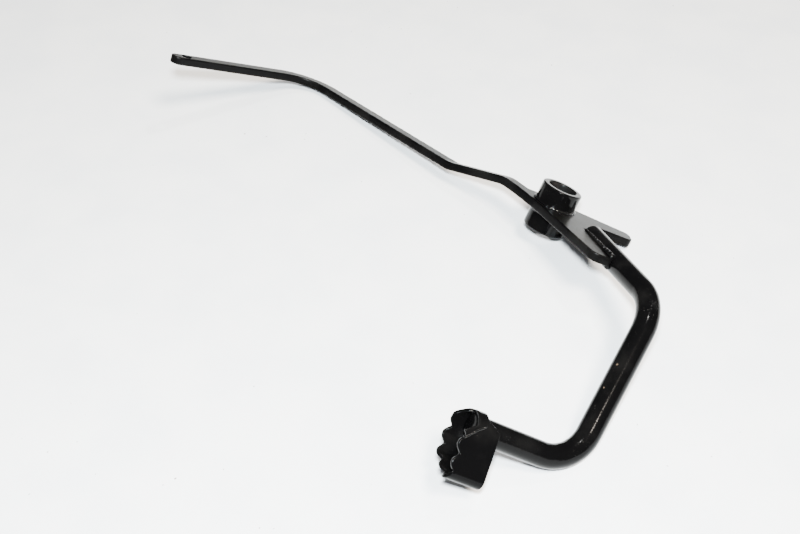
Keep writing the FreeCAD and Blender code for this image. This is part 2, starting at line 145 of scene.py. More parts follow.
def bent_path(corners, bends, step):
    """Evenly spaced points along straight runs joined by round bends."""
    points = [corners[0]]
    for before, corner, after, radius in zip(corners, corners[1:], corners[2:], bends):
        into = (corner - before).normalized()
        out = (after - corner).normalized()
        turn = into.angle(out)
        reach = radius * math.tan(turn / 2)
        inward = (out - into * out.dot(into)).normalized()
        start = corner - into * reach
        count = max(2, round(radius * turn / step))
        for i in range(count + 1):
            angle = turn * i / count
            points.append(start + into * radius * math.sin(angle)
                          + inward * radius * (1 - math.cos(angle)))
    points.append(corners[-1])
    return spread(points, step)


def spread(points, step):
    """The same line with extra points, so that no two are further apart than a step."""
    even = [points[0]]
    for before, after in zip(points, points[1:]):
        count = max(1, math.ceil((after - before).length / step))
        even.extend(before.lerp(after, i / count) for i in range(1, count + 1))
    return even


def carried_frames(points, hint):
    """A sideways and an upward direction for each point of a path."""
    frames = []
    side = hint
    for i, point in enumerate(points):
        along = (points[min(i + 1, len(points) - 1)] - points[max(i - 1, 0)]).normalized()
        side = (side - along * side.dot(along)).normalized()
        frames.append((side, along.cross(side)))
    return frames


def ring_at(centre, side, up, radius, sides):
    """Points of a circle about a centre."""
    turns = [2 * math.pi * i / sides for i in range(sides)]
    return [centre + (side * math.cos(a) + up * math.sin(a)) * radius for a in turns]


# %% [markdown]
# ## The round bar
#
# The bar is drawn steel rod, cut square and bent on a former. Bending thins the outside of a bend
# and leaves faint wrinkles on the inside, which the gloss shows up. The rod could be a curve with
# a round bevel, but a curve can't carry those marks, so it is skinned from rings: the wrinkles are
# a few hundredths of a millimetre of noise, strongest in the bends.

# %% Bar
BAR_STEP = 1.2 * MM
BAR_SIDES = 72
BAR_END_ROUND = 0.9 * MM
WRINKLE = 0.07 * MM


def end_rounding(distance, edge, radius):
    """Radius of a rod near a cut end whose edge is rounded."""
    if distance >= edge:
        return radius
    return radius - edge + math.sqrt(max(edge ** 2 - (edge - distance) ** 2, 0))


def bend_share(points, i, reach=4):
    """How sharply a path turns about one of its points, from 0 to 1."""
    low = max(i - reach, 0)
    high = min(i + reach, len(points) - 1)
    if low == i or high == i:
        return 0.0
    turn = (points[i] - points[low]).angle(points[high] - points[i])
    return min(turn / 0.12, 1.0)


def make_bar():
    """The bent rod, with rounded cut ends and faint wrinkles in its bends."""
    path = bent_path(BAR_CORNERS, BAR_BENDS, BAR_STEP)
    first = path[1] - path[0]
    last = path[-1] - path[-2]
    steps = [0.0, 0.12, 0.3, 0.55, 0.8]
    head = [path[0] + first.normalized() * BAR_END_ROUND * t for t in steps]
    tail = [path[-1] - last.normalized() * BAR_END_ROUND * t for t in reversed(steps)]
    path = head + path[1:-1] + tail
    travelled = [0.0]
    for before, after in zip(path, path[1:]):
        travelled.append(travelled[-1] + (after - before).length)
    rings = []
    for i, (side, up) in enumerate(carried_frames(path, Vector((0, 0, 1)))):
        edge = min(travelled[i], travelled[-1] - travelled[i])
        radius = end_rounding(edge, BAR_END_ROUND, BAR_RADIUS)
        ring = ring_at(path[i], side, up, radius, BAR_SIDES)
        wrinkle = WRINKLE * bend_share(path, i)
        moved = []
        for point in ring:
            swell = noise.noise(point * 420) * wrinkle
            moved.append(point + (point - path[i]).normalized() * (swell - wrinkle * 0.5))
        rings.append(moved)
    return skin_rings("bent_bar", rings)


bar = make_bar()
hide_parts("pedal_bar")
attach(bar, "root")
print("bar:", len(bar.data.polygons), "faces")

# %% [markdown]
# ## The pivot tube
#
# The tube is turned on a lathe: its section is a small rectangle with broken edges, spun round the
# bore. The enamel softens those edges further, so each corner of the section is a short arc. The
# bore is reamed to size and gets only a thin coat, so its faces take a second material.

# %% Pivot tube
TUBE_OUTER = 12.7 * MM
TUBE_BORE = 9.0 * MM
TUBE_HALF = 14.5 * MM
TUBE_EDGE = 0.75 * MM
TUBE_SIDES = 128
CORNER_STEPS = 6


def rounded_section(low, high, edge):
    """Points of a rectangle with arcs at its corners, anticlockwise."""
    centres = [
        (high[0] - edge, low[1] + edge, -90),
        (high[0] - edge, high[1] - edge, 0),
        (low[0] + edge, high[1] - edge, 90),
        (low[0] + edge, low[1] + edge, 180),
    ]
    points = []
    for x, y, start in centres:
        for i in range(CORNER_STEPS + 1):
            angle = math.radians(start + 90 * i / CORNER_STEPS)
            points.append((x + edge * math.cos(angle), y + edge * math.sin(angle)))
    return points


def make_tube():
    """The turned tube, spun from its section."""
    corners = rounded_section((TUBE_BORE, -TUBE_HALF), (TUBE_OUTER, TUBE_HALF), TUBE_EDGE)
    section = []
    for i, (radius, height) in enumerate(corners):
        following = corners[(i + 1) % len(corners)]
        count = max(1, round(math.dist((radius, height), following) / (1.5 * MM)))
        for k in range(count):
            share = k / count
            section.append((radius + (following[0] - radius) * share,
                            height + (following[1] - height) * share))
    rings = []
    for i in range(TUBE_SIDES):
        angle = 2 * math.pi * i / TUBE_SIDES
        across = Vector((math.cos(angle), math.sin(angle), 0))
        rings.append([LYING @ (across * r + Vector((0, 0, z))) for r, z in section])
    return skin_rings("turned_tube", rings, closed=True)


tube = make_tube()
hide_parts("pivot_tube")
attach(tube, "root")
print("tube:", len(tube.data.polygons), "faces")

# %% [markdown]
# ## The stamped plate and its arm
#
# The plate is cut from sheet and pressed, and the arm is set down by a joggle and bent at its
# elbow. Its shape in the frame is right, but its edges are as sharp as the drawing's. Real stamped
# edges are rounded by tumbling and by the paint. A bevel needs clean edge loops, which a mesh made
# from a drawing doesn't have. A voxel remesh and a little smoothing don't care: they take a fine
# cast of the piece and wear every edge by the same small amount.

# %% Plate and arm
PLATE_VOXEL = 0.55 * MM
PLATE_SMOOTHING = 5


def cast_of(name, node, voxel, rounds):
    """A fine cast of a CAD piece with softened edges, as a new piece."""
    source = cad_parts[node]
    draft = bpy.data.objects.new(name + "_draft", source.data.copy())
    bpy.context.scene.collection.objects.link(draft)
    remesh = draft.modifiers.new("voxels", "REMESH")
    remesh.mode = "VOXEL"
    remesh.voxel_size = voxel
    smooth = draft.modifiers.new("soften", "SMOOTH")
    smooth.factor = 0.5
    smooth.iterations = rounds
    graph = bpy.context.evaluated_depsgraph_get()
    mesh = bpy.data.meshes.new_from_object(draft.evaluated_get(graph))
    bpy.data.objects.remove(draft)
    mesh.name = name
    mesh.materials.clear()
    return add_piece(name, mesh)


plate = cast_of("plate_and_arm", "arm_plate", PLATE_VOXEL, PLATE_SMOOTHING)
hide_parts("arm_plate")
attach(plate, "root")
print("plate and arm:", len(plate.data.polygons), "faces")

# %% [markdown]
# ## The foot pad
#
# The pad is a strip of sheet with a saw edge, bent into a narrow loop whose ends wrap the bar. The
# strip is easiest to think of flat: its length runs round the loop and its width runs down the
# bar. So the loop's middle line is walked once, and at each place the strip's section is drawn as
# a small rounded rectangle: its front is set by the teeth, and its back by the trimmed wrap.

# %% Pad: its frame and middle line
SHEET = 2.0 * MM
PAD_DEPTH = 21.0 * MM
PAD_PROUD = 7.5 * MM
PAD_TURN = math.radians(30)
BESIDE = BAR_RADIUS + SHEET / 2
PAD_LOW = -31.5 * MM
PAD_REACH = 11.5 * MM
OUTER_LOW = -16.2 * MM
OUTER_HIGH = -6.5 * MM
PAD_ROUND = 4.0 * MM
PAD_STEP = 0.3 * MM


def pad_place():
    """The pad's own axes: X and Y lie in the tread, and Z runs down the bar."""
    lower, foot = BAR_CORNERS[2], BAR_CORNERS[3]
    down = (lower - foot).normalized()
    lean = LYING.to_3x3() @ Vector((0, math.sin(PAD_TURN), math.cos(PAD_TURN)))
    up = (lean - down * lean.dot(down)).normalized()
    return placement(foot - down * PAD_PROUD, up.cross(down), up, down)


def wrap_crown():
    """Where the outer wall's line meets the line over the bar."""
    high = Vector((PAD_REACH, OUTER_HIGH))
    lean = math.atan2(high.y, high.x) + math.acos(BESIDE / high.length)
    touch = Vector((math.cos(lean), math.sin(lean))) * BESIDE
    slope = (touch - high).normalized()
    return high + slope * ((BESIDE - high.y) / slope.y)


def loop_line():
    """Points round the loop's middle line, and how far each is past the lower corner's start."""
    crown = wrap_crown()
    corners = [Vector((x, y, 0)) for x, y in (
        (0.0, BESIDE),
        (-BESIDE, BESIDE),
        (-BESIDE, PAD_LOW),
        (PAD_REACH, OUTER_LOW),
        (PAD_REACH, OUTER_HIGH),
        (crown.x, crown.y),
        (0.0, BESIDE),
    )]
    almost = 0.9999
    bends = [BESIDE * almost, PAD_ROUND, PAD_ROUND, PAD_ROUND, BESIDE * almost]
    points = bent_path(corners, bends, PAD_STEP)[:-1]
    walked = [0.0]
    for before, after in zip(points, points[1:]):
        walked.append(walked[-1] + (after - before).length)
    interior = math.atan2(OUTER_LOW - PAD_LOW, PAD_REACH + BESIDE)
    reach = PAD_ROUND * math.tan((math.pi / 2 + interior) / 2)
    corner_start = BESIDE * math.pi / 2 + (0 - PAD_LOW) - reach
    return points, [distance - corner_start for distance in walked]


PAD = pad_place()
loop_points, loop_walked = loop_line()
print("pad loop:", round(loop_walked[-1] - loop_walked[0], 4), "metres round")

# %% [markdown]
# The saw edge is a row of notches at an even pitch. Worn, painted teeth are round and the notches
# between them are narrower, so the depth follows a rectified sine: broad lobes that meet in
# valleys. A small constant under the root keeps each valley from closing to a knife line.

# %% Pad: teeth, wrap and skin
TOOTH_PITCH = 9.5 * MM
FIRST_SCALLOP = 1.0 * MM
TOOTH_DEPTH = 3.4 * MM
NOTCH_ROUND = 0.025
TIP_BLEND = 0.55 * MM
SHEET_EDGE = 0.7 * MM
SCALLOPS = range(-2, 5)


def eased(value):
    """A smooth step from 0 to 1."""
    value = min(max(value, 0.0), 1.0)
    return value * value * (3 - 2 * value)


def blended_max(first, second, blend):
    """The larger of two values, with a rounded change from one to the other."""
    difference = first - second
    return (first + second + math.sqrt(difference ** 2 + blend ** 2)) / 2 - blend / 4


def tooth_cut(walked):
    """Depth of the saw edge at a place round the loop: rounded teeth with narrower notches."""
    nearest = min(abs(walked - FIRST_SCALLOP - k * TOOTH_PITCH) for k in SCALLOPS)
    if nearest > TOOTH_PITCH / 2:
        return 0.0
    swing = math.sin(math.pi * nearest / TOOTH_PITCH)
    return TOOTH_DEPTH * (1 - math.sqrt((swing ** 2 + NOTCH_ROUND) / (1 + NOTCH_ROUND)))


def strip_edges(point, walked):
    """Front and back depth of the strip at a place round the loop."""
    outer = eased((point.x + 2 * MM) / (4 * MM))
    front_start = (-5.0 + 8.0 * outer) * MM
    back_start = 3.0 * MM * outer
    trimmed = PAD_PROUD * eased((point.y - front_start) / (0.95 * PAD_PROUD))
    front = blended_max(tooth_cut(walked), trimmed, TIP_BLEND)
    recess = PAD_PROUD * eased((point.y - back_start) / (0.75 * PAD_PROUD))
    return front, PAD_DEPTH - recess


def make_pad():
    """The saw-edged loop, skinned from the strip's section."""
    count = len(loop_points)
    rings = []
    across = 18
    for i, point in enumerate(loop_points):
        along = (loop_points[(i + 1) % count] - loop_points[i - 1]).normalized()
        outward = Vector((along.y, -along.x, 0))
        front, back = strip_edges(point, loop_walked[i])
        section = rounded_section((-SHEET / 2, front), (SHEET / 2, back), SHEET_EDGE)
        ring = []
        for k, (offset, depth) in enumerate(section):
            following = section[(k + 1) % len(section)]
            straight = k % (CORNER_STEPS + 1) == CORNER_STEPS and abs(following[1] - depth) > MM
            pieces = across if straight else 1
            for step in range(pieces):
                share = step / pieces
                offset_now = offset + (following[0] - offset) * share
                depth_now = depth + (following[1] - depth) * share
                ring.append(PAD @ (point + outward * offset_now + Vector((0, 0, depth_now))))
        rings.append(ring)
    return skin_rings("saw_edge_pad", rings, closed=True)


pad = make_pad()
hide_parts("foot_pad")
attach(pad, "root")
print("pad:", len(pad.data.polygons), "faces")

# %% [markdown]
# ## Weld beads
#
# A hand-laid bead is a row of overlapping puddles, so its width swells and shrinks at an even
# pitch and its line wanders a little. Each bead here is a tube whose rings follow that rhythm,
# half sunk into the seam it fills. A plain tube would look like a wire laid in the corner.

# %% Bead helper
BEAD_SIDES = 24
PUDDLES = 7


def weld_bead(name, node, route, radius, pitch, wander, closed=False, growth=1.0):
    """A rippled bead along a route, in place of a CAD bead. Growth is the far end over the near."""
    step = pitch / PUDDLES
    path = spread(route, step)
    if closed:
        path = path[:-1]
    frames = carried_frames(path, Vector((0.3, 0.2, 1)))
    length = sum((b - a).length for a, b in zip(path, path[1:]))
    rings = []
    travelled = 0.0
    for i, point in enumerate(path):
        if i:
            travelled += (point - path[i - 1]).length
        side, up = frames[i]
        puddle = abs(math.sin(math.pi * travelled / pitch)) ** 0.6
        swell = 0.84 + 0.16 * puddle + 0.12 * noise.noise(point * 300)
        swell *= 1 + (growth - 1) * travelled / length
        if not closed:
            ends = min(travelled, length - travelled) / radius
            swell *= math.sqrt(1 - (1 - min(ends, 1.0)) ** 2) + 0.02
        shift = side * noise.noise(point * 170) * wander
        rings.append(ring_at(point + shift, side, up, radius * swell, BEAD_SIDES))
    bead = skin_rings(name, rings, closed=closed)
    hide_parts(node)
    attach(bead, "root")
    return bead


# %% Beads round the tube and along the bar
PLATE_FACE = 2.65 * MM
TUBE_BEAD = 1.15 * MM
BAR_BEAD = 1.2 * MM
BAR_BEAD_GROWTH = 2.0
TUBE_PUDDLE = 2.6 * MM
BAR_PUDDLE = 3.2 * MM
SEAT_LENGTH = 40.5 * MM


def tube_route(side):
    """A circle in the corner between the tube and one face of the plate."""
    radius = TUBE_OUTER + TUBE_BEAD * 0.15
    height = side * (PLATE_FACE + TUBE_BEAD * 0.2)
    turns = [2 * math.pi * i / 120 for i in range(121)]
    return [LYING @ Vector((radius * math.cos(a), radius * math.sin(a), height)) for a in turns]


def seat_route(side):
    """The seam between the bar and the edge of the plate, on one face of the plate."""
    start, upper = BAR_CORNERS[0], BAR_CORNERS[1]
    along = (upper - start).normalized()
    across = (LYING.to_3x3() @ Vector((0, 0, 1))).cross(along)
    seam = start - across * BAR_RADIUS * 0.9
    face = LYING.to_3x3() @ Vector((0, 0, side)) * PLATE_FACE
    return [seam + face + along * BAR_BEAD, seam + face + along * (SEAT_LENGTH - BAR_BEAD * 0.6)]


beads = [
    weld_bead("tube_bead_upper", "weld_pivot_upper", tube_route(1), TUBE_BEAD, TUBE_PUDDLE,
              0.25 * MM, closed=True),
    weld_bead("tube_bead_lower", "weld_pivot_lower", tube_route(-1), TUBE_BEAD, TUBE_PUDDLE,
              0.25 * MM, closed=True),
    weld_bead("seat_bead_upper", "weld_bar_inner", seat_route(1), BAR_BEAD, BAR_PUDDLE,
              0.4 * MM, growth=BAR_BEAD_GROWTH),
    weld_bead("seat_bead_lower", "weld_bar_outer", seat_route(-1), BAR_BEAD, BAR_PUDDLE,
              0.4 * MM, growth=BAR_BEAD_GROWTH),
]
print("beads on the plate:", len(beads))

# %% Beads on the pad
SEAM_BEAD = 0.8 * MM
WRAP_BEAD = 0.9 * MM


def crease_route():
    """The slanting seam where the pad's near wall is closed against the bar."""
    skin = -(BESIDE + SHEET / 2)
    stops = [
        (skin, -7.0 * MM, 1.6 * MM),
        (skin, -4.6 * MM, 4.4 * MM),
        (skin, -0.6 * MM, 8.6 * MM),
        (skin * 0.98, 2.2 * MM, 12.2 * MM),
    ]
    return [PAD @ Vector(stop) for stop in stops]


def wrap_route():
    """The back edge of the wrap, where it lies on top of the bar."""
    lowest = 2.2 * MM
    shrink = (BAR_RADIUS + WRAP_BEAD * 0.4) / BESIDE
    near, far = [], []
    for point, walked in zip(loop_points, loop_walked):
        if point.y < lowest:
            continue
        depth = strip_edges(point, walked)[1]
        spot = PAD @ Vector((point.x * shrink, point.y * shrink, depth))
        (near if walked < 0 else far).append(spot)
    return (far + near)[::4]


beads.append(weld_bead("seam_bead", "weld_pad_front", crease_route(), SEAM_BEAD, 1.5 * MM,
                       0.5 * MM))
beads.append(weld_bead("wrap_bead", "weld_pad_rear", wrap_route(), WRAP_BEAD, 1.8 * MM,
                       0.25 * MM))
print("beads in all:", len(beads))

# %% [markdown]
# ## Shared effects
#
# Four things happen to every enamelled surface: the coat dries with a faint orange peel, dust
# settles on what faces up, the coat wears thin on sharp edges, and it picks up hairline scratches.
# Each is a node group with named inputs, built once and given its own values in each material.
# The groups only put out masks and heights. The shader stays in the material, where its sockets
# can be set.

# %% Node helpers


def new_group(name, inputs, outputs):
    """A shader node group with float inputs and outputs."""
    group = bpy.data.node_groups.new(name, "ShaderNodeTree")
    for label, value in inputs:
        socket = group.interface.new_socket(label, in_out="INPUT", socket_type="NodeSocketFloat")
        socket.default_value = value
    for label in outputs:
        group.interface.new_socket(label, in_out="OUTPUT", socket_type="NodeSocketFloat")
    return group, group.nodes.new("NodeGroupInput"), group.nodes.new("NodeGroupOutput")


def math_node(tree, operation, first, second=0.0, clamp=False):
    """One sum. Each term is a number or another node's output."""
    node = tree.nodes.new("ShaderNodeMath")
    node.operation = operation
    node.use_clamp = clamp
    for socket, term in zip(node.inputs, (first, second)):
        if isinstance(term, (int, float)):
            socket.default_value = term
        else:
            tree.links.new(term, socket)
    return node.outputs[0]


def noise_node(tree, scale, detail, stretch=None):
    """Noise over the piece's own space, stretched if asked."""
    place = tree.nodes.new("ShaderNodeTexCoord").outputs["Object"]
    if stretch:
        mapping = tree.nodes.new("ShaderNodeMapping")
        mapping.inputs["Scale"].default_value = stretch
        tree.links.new(place, mapping.inputs["Vector"])
        place = mapping.outputs[0]
    node = tree.nodes.new("ShaderNodeTexNoise")
    tree.links.new(place, node.inputs["Vector"])
    node.inputs["Detail"].default_value = detail
    if isinstance(scale, (int, float)):
        node.inputs["Scale"].default_value = scale
    else:
        tree.links.new(scale, node.inputs["Scale"])
    return node.outputs["Fac"]


def ramp_node(tree, value, low, high):
    """A smooth 0 to 1 as the value goes from low to high."""
    node = tree.nodes.new("ShaderNodeMapRange")
    node.interpolation_type = "SMOOTHSTEP"
    node.inputs["From Min"].default_value = low
    node.inputs["From Max"].default_value = high
    tree.links.new(value, node.inputs["Value"])
    return node.outputs["Result"]


# %% Orange peel
def build_orange_peel():
    """Height of the dried coat: a fine skin on slow waves."""
    group, given, result = new_group(
        "orange_peel", [("Skin Scale", 900.0), ("Wave Share", 0.6)], ["Height"])
    skin = noise_node(group, given.outputs["Skin Scale"], 1.0)
    slow = math_node(group, "MULTIPLY", given.outputs["Skin Scale"], 0.17)
    wave = noise_node(group, slow, 1.5)
    waves = math_node(group, "MULTIPLY", wave, given.outputs["Wave Share"])
    group.links.new(math_node(group, "ADD", skin, waves), result.inputs["Height"])
    return group


orange_peel = build_orange_peel()
print("built", orange_peel.name)


# %% Settled dust
def build_settled_dust():
    """Specks and a thin film on what faces up."""
    group, given, result = new_group(
        "settled_dust", [("Film", 0.2), ("Specks", 0.5)], ["Mask"])
    normal = group.nodes.new("ShaderNodeNewGeometry").outputs["Normal"]
    parts = group.nodes.new("ShaderNodeSeparateXYZ")
    group.links.new(normal, parts.inputs[0])
    upward = ramp_node(group, parts.outputs["Z"], 0.1, 0.95)
    patches = ramp_node(group, noise_node(group, 55.0, 3.0), 0.42, 0.7)
    film = math_node(group, "MULTIPLY", patches, given.outputs["Film"])
    grains = ramp_node(group, noise_node(group, 2400.0, 1.0), 0.74, 0.8)
    crowd = ramp_node(group, noise_node(group, 130.0, 2.0), 0.5, 0.62)
    specks = math_node(group, "MULTIPLY", grains, crowd)
    specks = math_node(group, "MULTIPLY", specks, given.outputs["Specks"])
    both = math_node(group, "ADD", film, specks, clamp=True)
    group.links.new(math_node(group, "MULTIPLY", both, upward), result.inputs["Mask"])
    return group


settled_dust = build_settled_dust()
print("built", settled_dust.name)


# %% Worn edges
def build_worn_edges():
    """Where the mesh is sharply convex, broken up by noise."""
    group, given, result = new_group("worn_edges", [("Wear", 0.5)], ["Mask"])
    sharp = group.nodes.new("ShaderNodeNewGeometry").outputs["Pointiness"]
    edge = ramp_node(group, sharp, 0.53, 0.62)
    breaks = ramp_node(group, noise_node(group, 260.0, 4.0), 0.46, 0.62)
    worn = math_node(group, "MULTIPLY", edge, breaks)
    worn = math_node(group, "MULTIPLY", worn, given.outputs["Wear"], clamp=True)
    group.links.new(worn, result.inputs["Mask"])
    return group


worn_edges = build_worn_edges()
print("built", worn_edges.name)


# %% Hairline scratches
def build_hairlines():
    """Thin lines where stretched noise crosses its middle value, in scattered patches."""
    group, given, result = new_group("hairline_scratches", [("Amount", 0.4)], ["Mask"])
    lines = []
    for stretch in ((9.0, 70.0, 40.0), (60.0, 12.0, 25.0)):
        field = noise_node(group, 6.0, 2.0, stretch)
        offset = math_node(group, "ABSOLUTE", math_node(group, "SUBTRACT", field, 0.5))
        lines.append(math_node(group, "SUBTRACT", 1.0, ramp_node(group, offset, 0.0, 0.006)))
    marks = math_node(group, "MAXIMUM", lines[0], lines[1])
    patches = ramp_node(group, noise_node(group, 38.0, 2.0), 0.52, 0.66)
    marks = math_node(group, "MULTIPLY", marks, patches)
    marks = math_node(group, "MULTIPLY", marks, given.outputs["Amount"], clamp=True)
    group.links.new(marks, result.inputs["Mask"])
    return group


hairlines = build_hairlines()
print("built", hairlines.name)

# %% [markdown]
# ## The enamel
#
# Black enamel is nearly black all through, and all that is seen of it is its gloss: what it
# reflects, how sharply, and where dust or scratches break the reflection. So its base colour is
# left very dark, its roughness low except on the duller plate, and the shared effects feed small
# changes into colour, roughness and bump. Where the coat is chipped, brown rust on steel shows.
#
# Real enamel has an index of refraction of about 1.5. The indices here are lower, 1.11 to 1.20,
# because the default view lifts dark tones and the pale floor would turn the black grey. For a
# scene with its own lights, 1.5 is the value to start from.

# %% Enamel material
BLACK = (0.0011, 0.00105, 0.0011, 1)
DUST = (0.30, 0.28, 0.25, 1)
THIN_COAT = (0.06, 0.058, 0.055, 1)
RUST = (0.05, 0.036, 0.024, 1)


def place_group(tree, group, **values):
    """A node group in a material, with its own values."""
    node = tree.nodes.new("ShaderNodeGroup")
    node.node_tree = group
    for label, value in values.items():
        node.inputs[label.replace("_", " ")].default_value = value
    return node.outputs[0]


def mix_colour(tree, below, above, mask):
    """One colour laid over another through a mask. Each is a constant or an output."""
    node = tree.nodes.new("ShaderNodeMix")
    node.data_type = "RGBA"
    tree.links.new(mask, node.inputs["Factor"])
    for socket, colour in ((node.inputs[6], below), (node.inputs[7], above)):
        if isinstance(colour, tuple):
            socket.default_value = colour
        else:
            tree.links.new(colour, socket)
    return node.outputs[2]


def chip_mask(tree, centre, size, edge=0.3):
    """A ragged spot about a point of the piece."""
    place = tree.nodes.new("ShaderNodeTexCoord").outputs["Object"]
    apart = tree.nodes.new("ShaderNodeVectorMath")
    apart.operation = "DISTANCE"
    apart.inputs[1].default_value = centre
    tree.links.new(place, apart.inputs[0])
    ragged = math_node(tree, "MULTIPLY", noise_node(tree, 900.0, 3.0), size * 1.3)
    reach = math_node(tree, "ADD", apart.outputs["Value"], ragged)
    return math_node(tree, "SUBTRACT", 1.0, ramp_node(tree, reach, size * (1.4 - edge), size * 1.4))


def enamel(name, index, gloss, peel, film, wear, scratches, chips=(), scuff_and_sheen=None):
    """A material of black enamel. Chips and the scuff are pairs of a place and a size. The scuff is
    a rougher patch, painted a little lighter as a sheen.
    """
    material = bpy.data.materials.new(name)
    material.use_nodes = True
    tree = material.node_tree
    shader = tree.nodes["Principled BSDF"]
    shader.inputs["IOR"].default_value = index
    dust = place_group(tree, settled_dust, Film=film, Specks=0.55)
    worn = place_group(tree, worn_edges, Wear=wear)
    lines = place_group(tree, hairlines, Amount=scratches)
    height = place_group(tree, orange_peel, Skin_Scale=peel, Wave_Share=0.8)

    colour = mix_colour(tree, BLACK, THIN_COAT, worn)
    colour = mix_colour(tree, colour, DUST, math_node(tree, "MULTIPLY", dust, 0.35))
    bare = None
    for centre, size in chips:
        spot = chip_mask(tree, centre, size)
        bare = spot if bare is None else math_node(tree, "MAXIMUM", bare, spot)
    if bare is not None:
        colour = mix_colour(tree, colour, RUST, bare)
    # The scuff roughens the coat and lightens its colour a little: the lightening is a painted sheen
    # where the bend's rough highlight lies.
    if scuff_and_sheen is not None:
        rubbed_and_sheen = math_node(tree, "MULTIPLY", chip_mask(tree, *scuff_and_sheen, edge=0.9),
                           noise_node(tree, 700.0, 5.0))
        colour = mix_colour(tree, colour, THIN_COAT, math_node(tree, "MULTIPLY", rubbed_and_sheen, 0.25))
    tree.links.new(colour, shader.inputs["Base Color"])

    rough = math_node(tree, "ADD", math_node(tree, "MULTIPLY", dust, 0.35), gloss)
    rough = math_node(tree, "ADD", rough, math_node(tree, "MULTIPLY", lines, 0.25))
    rough = math_node(tree, "ADD", rough, math_node(tree, "MULTIPLY", worn, 0.2))
    if bare is not None:
        rough = math_node(tree, "MAXIMUM", rough, math_node(tree, "MULTIPLY", bare, 0.7))
    tree.links.new(rough, shader.inputs["Roughness"])

    relief = math_node(tree, "SUBTRACT", height, math_node(tree, "MULTIPLY", lines, 0.3))
    if bare is not None:
        relief = math_node(tree, "SUBTRACT", relief, math_node(tree, "MULTIPLY", bare, 2.0))
    if scuff_and_sheen is not None:
        relief = math_node(tree, "ADD", relief, math_node(tree, "MULTIPLY", rubbed_and_sheen, 6.0))
    bump = tree.nodes.new("ShaderNodeBump")
    bump.inputs["Strength"].default_value = 0.35
    bump.inputs["Distance"].default_value = 0.00009
    tree.links.new(relief, bump.inputs["Height"])
    tree.links.new(bump.outputs["Normal"], shader.inputs["Normal"])
    return material


# %% Chips, and a scuff with painted sheen, on the bar
def bar_spot(share, lift):
    """A point on the bar's skin between its two bends, on the side that faces up."""
    upper, lower = BAR_CORNERS[1], BAR_CORNERS[2]
    along = (lower - upper).normalized()
    out = Vector(lift)
    out = (out - along * out.dot(along)).normalized()
    return upper.lerp(lower, share) + out * BAR_RADIUS


bar_chips = [
    (bar_spot(0.42, (-0.75, -0.5, 0.75)), 1.0 * MM),
    (bar_spot(0.565, (-0.8, -0.45, 0.7)), 0.8 * MM),
    (bar_spot(0.12, (-0.2, -0.6, 0.8)), 0.5 * MM),
]
# A rough patch at the upper bend, whose lighter tone is a painted sheen.
bar_scuff_and_sheen = (bar_spot(0.0, (-0.15, -0.6, 0.8)), 8.0 * MM)
finishes = {
    "bar": enamel("black_enamel_bar", index=1.14, gloss=0.12, peel=850.0, film=0.015, wear=0.3,
                  scratches=0.4, chips=bar_chips, scuff_and_sheen=bar_scuff_and_sheen),
    "plate": enamel("black_enamel_plate", index=1.13, gloss=0.3, peel=1100.0, film=0.04,
                    wear=0.25, scratches=0.5),
    "tube": enamel("black_enamel_tube", index=1.17, gloss=0.1, peel=520.0, film=0.02, wear=0.3,
                   scratches=0.3),
    "pad": enamel("black_enamel_pad", index=1.11, gloss=0.15, peel=700.0, film=0.02, wear=0.7,
                  scratches=0.6),
    "weld": enamel("painted_weld", index=1.2, gloss=0.12, peel=1500.0, film=0.03, wear=0.1,
                   scratches=0.2),
}
print("finishes:", ", ".join(finishes))

# %% [markdown]
# The tube's bore is the one surface with another finish: a thin coat over reamed steel, a little
# duller, with fine rings left by the reamer. Rings across a bore are bands along its axis, so a
# sine of the distance along the pivot's direction sets their height.

# %% Bore material
def make_bore_finish():
    """Thin dull coat over fine reamer marks."""
    material = bpy.data.materials.new("reamed_bore")
    material.use_nodes = True
    tree = material.node_tree
    shader = tree.nodes["Principled BSDF"]
    shader.inputs["IOR"].default_value = 1.15
    place = tree.nodes.new("ShaderNodeTexCoord").outputs["Object"]
    axis = tree.nodes.new("ShaderNodeVectorMath")
    axis.operation = "DOT_PRODUCT"
    axis.inputs[1].default_value = LYING.to_3x3() @ Vector((0, 0, 1))
    tree.links.new(place, axis.inputs[0])
    turns = math_node(tree, "SINE", math_node(tree, "MULTIPLY", axis.outputs["Value"], 14000.0))
    cloud = noise_node(tree, 180.0, 3.0)
    colour = mix_colour(tree, (0.003, 0.003, 0.003, 1), (0.012, 0.010, 0.009, 1),
                        ramp_node(tree, cloud, 0.45, 0.75))
    tree.links.new(colour, shader.inputs["Base Color"])
    tree.links.new(math_node(tree, "ADD", math_node(tree, "MULTIPLY", cloud, 0.25), 0.25),
                   shader.inputs["Roughness"])
    bump = tree.nodes.new("ShaderNodeBump")
    bump.inputs["Strength"].default_value = 0.15
    bump.inputs["Distance"].default_value = 0.00002
    tree.links.new(turns, bump.inputs["Height"])
    tree.links.new(bump.outputs["Normal"], shader.inputs["Normal"])
    return material


bar.data.materials.append(finishes["bar"])
plate.data.materials.append(finishes["plate"])
pad.data.materials.append(finishes["pad"])
tube.data.materials.append(finishes["tube"])
tube.data.materials.append(make_bore_finish())
for bead in beads:
    bead.data.materials.append(finishes["weld"])

to_lever = LYING.inverted()
for face in tube.data.polygons:
    centre = to_lever @ face.center
    if math.hypot(centre.x, centre.y) < TUBE_BORE + 0.05 * MM:
        face.material_index = 1
print("bore faces:", sum(face.material_index for face in tube.data.polygons))

# %% [markdown]
# ## Floor, light and camera
#
# The lever lies on a pale, faintly mottled sheet. A glossy black thing is lit by what it mirrors,
# so the light is kept plain: a dim, even sky, one small cool lamp just above the camera for the
# tight shadow and one broader warm lamp overhead for the soft shadow. Two more are there for their
# glints: a small one above the bar, which also adds a little to the floor, and a faint low one.

